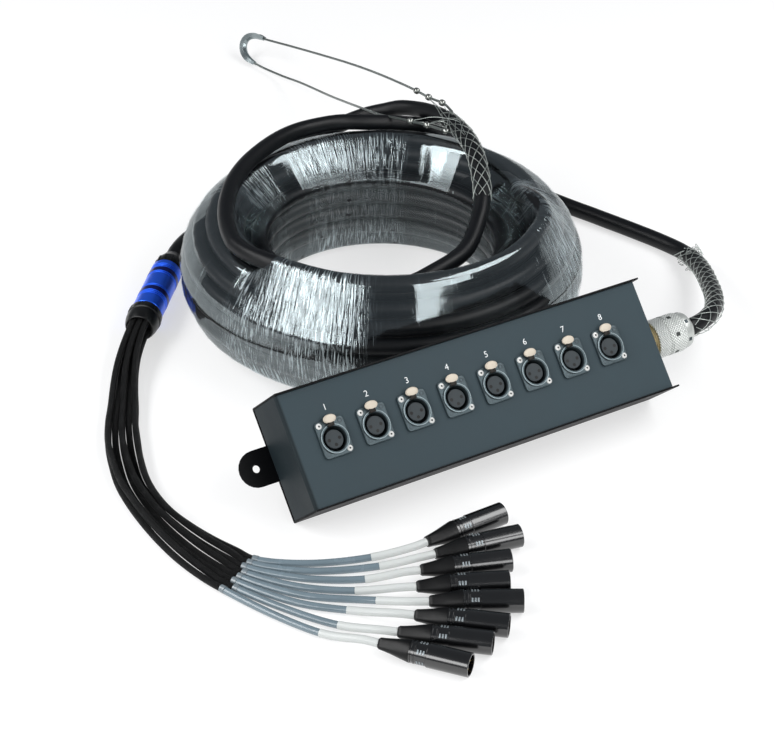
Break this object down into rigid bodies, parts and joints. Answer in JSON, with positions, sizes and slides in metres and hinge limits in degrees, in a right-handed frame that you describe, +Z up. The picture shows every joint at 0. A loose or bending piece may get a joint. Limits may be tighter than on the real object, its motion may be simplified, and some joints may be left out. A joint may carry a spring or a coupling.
{
  "type": "stage box snake",
  "caption": "Stage box with a row of panel sockets, a wound multicore cable on a screw coupling, and a splitter with a fan of plug tails and a wire-rope pulling grip.",
  "frame": {"origin": "on the floor, under the middle of the stage box with its lugs and coupling", "axes": "+X along the box towards its coupling, +Z up, +Y from the box towards the coil"},
  "size_m": [0.6411, 1.0313, 0.1357],
  "materials": {
    "black_powder_coat": "fine black powder coat",
    "slate_powder_coat": "slate grey powder coat",
    "shell_plating": "dark plated",
    "tab_plating": "bright plated",
    "gold_plating": "pale gold plated",
    "nickel_plating": "bright zinc plated",
    "cable_jacket": "satin black jacket",
    "black_plastic": "matte black",
    "blue_anodising": "bright blue anodised",
    "braid_sleeve": "black braided sleeve",
    "black_metal": "black plated",
    "steel_wire": "galvanised wire",
    "hookup_wire": "insulated wire"
  },
  "bodies": {
    "stage_box": {"base_channel": "black_powder_coat", "top_panel": "slate_powder_coat", "wiring_harness": "hookup_wire", "chassis_socket": "gold_plating", "cable_clamp": "nickel_plating", "splitter_nut_cable": "black_plastic", "splitter_body": "blue_anodising", "splitter_nut_tails": "black_plastic", "cable_coil": "cable_jacket", "cable_coil_core": "cable_jacket", "cable_to_box": "cable_jacket", "cable_to_splitter": "cable_jacket", "box_end_grip": "steel_wire", "pulling_grip": "steel_wire", "pulling_loop": "steel_wire", "thimble": "steel_wire", "receptacle_1_shell": "shell_plating", "tail_1": "braid_sleeve", "plug_1_boot": "black_plastic", "plug_1_shell": "black_metal", "receptacle_2_shell": "shell_plating", "tail_2": "braid_sleeve", "plug_2_boot": "black_plastic", "plug_2_shell": "black_metal", "receptacle_3_shell": "shell_plating", "tail_3": "braid_sleeve", "plug_3_boot": "black_plastic", "plug_3_shell": "black_metal", "receptacle_4_shell": "shell_plating", "tail_4": "braid_sleeve", "plug_4_boot": "black_plastic", "plug_4_shell": "black_metal", "receptacle_5_shell": "shell_plating", "tail_5": "braid_sleeve", "plug_5_boot": "black_plastic", "plug_5_shell": "black_metal", "receptacle_6_shell": "shell_plating", "tail_6": "braid_sleeve", "plug_6_boot": "black_plastic", "plug_6_shell": "black_metal", "receptacle_7_shell": "shell_plating", "tail_7": "braid_sleeve", "plug_7_boot": "black_plastic", "plug_7_shell": "black_metal", "receptacle_8_shell": "shell_plating", "tail_8": "braid_sleeve", "plug_8_boot": "black_plastic", "plug_8_shell": "black_metal"},
    "coupling_ring": {"coupling_ring": "nickel_plating"},
    "push_tab_1": {"receptacle_1_push_tab": "tab_plating"},
    "push_tab_2": {"receptacle_2_push_tab": "tab_plating"},
    "push_tab_3": {"receptacle_3_push_tab": "tab_plating"},
    "push_tab_4": {"receptacle_4_push_tab": "tab_plating"},
    "push_tab_5": {"receptacle_5_push_tab": "tab_plating"},
    "push_tab_6": {"receptacle_6_push_tab": "tab_plating"},
    "push_tab_7": {"receptacle_7_push_tab": "tab_plating"},
    "push_tab_8": {"receptacle_8_push_tab": "tab_plating"}
  },
  "joints": [
    {"name": "push_tab_1_press", "type": "slide", "parent": "stage_box", "child": "push_tab_1", "axis": [0, 0.7254, -0.6884], "range_m": [0, 0.0016], "stiffness_N_per_m": 800},
    {"name": "push_tab_2_press", "type": "slide", "parent": "stage_box", "child": "push_tab_2", "axis": [0, 0.7254, -0.6884], "range_m": [0, 0.0016], "stiffness_N_per_m": 800},
    {"name": "push_tab_3_press", "type": "slide", "parent": "stage_box", "child": "push_tab_3", "axis": [0, 0.7254, -0.6884], "range_m": [0, 0.0016], "stiffness_N_per_m": 800},
    {"name": "push_tab_4_press", "type": "slide", "parent": "stage_box", "child": "push_tab_4", "axis": [0, 0.7254, -0.6884], "range_m": [0, 0.0016], "stiffness_N_per_m": 800},
    {"name": "push_tab_5_press", "type": "slide", "parent": "stage_box", "child": "push_tab_5", "axis": [0, 0.7254, -0.6884], "range_m": [0, 0.0016], "stiffness_N_per_m": 800},
    {"name": "push_tab_6_press", "type": "slide", "parent": "stage_box", "child": "push_tab_6", "axis": [0, 0.7254, -0.6884], "range_m": [0, 0.0016], "stiffness_N_per_m": 800},
    {"name": "push_tab_7_press", "type": "slide", "parent": "stage_box", "child": "push_tab_7", "axis": [0, 0.7254, -0.6884], "range_m": [0, 0.0016], "stiffness_N_per_m": 800},
    {"name": "push_tab_8_press", "type": "slide", "parent": "stage_box", "child": "push_tab_8", "axis": [0, 0.7254, -0.6884], "range_m": [0, 0.0016], "stiffness_N_per_m": 800},
    {"name": "coupling_ring_turn", "type": "hinge", "parent": "stage_box", "child": "coupling_ring", "pos_m": [0.195, -0.00165, 0.05254], "axis": [1, 0, 0], "continuous": true}
  ]
}
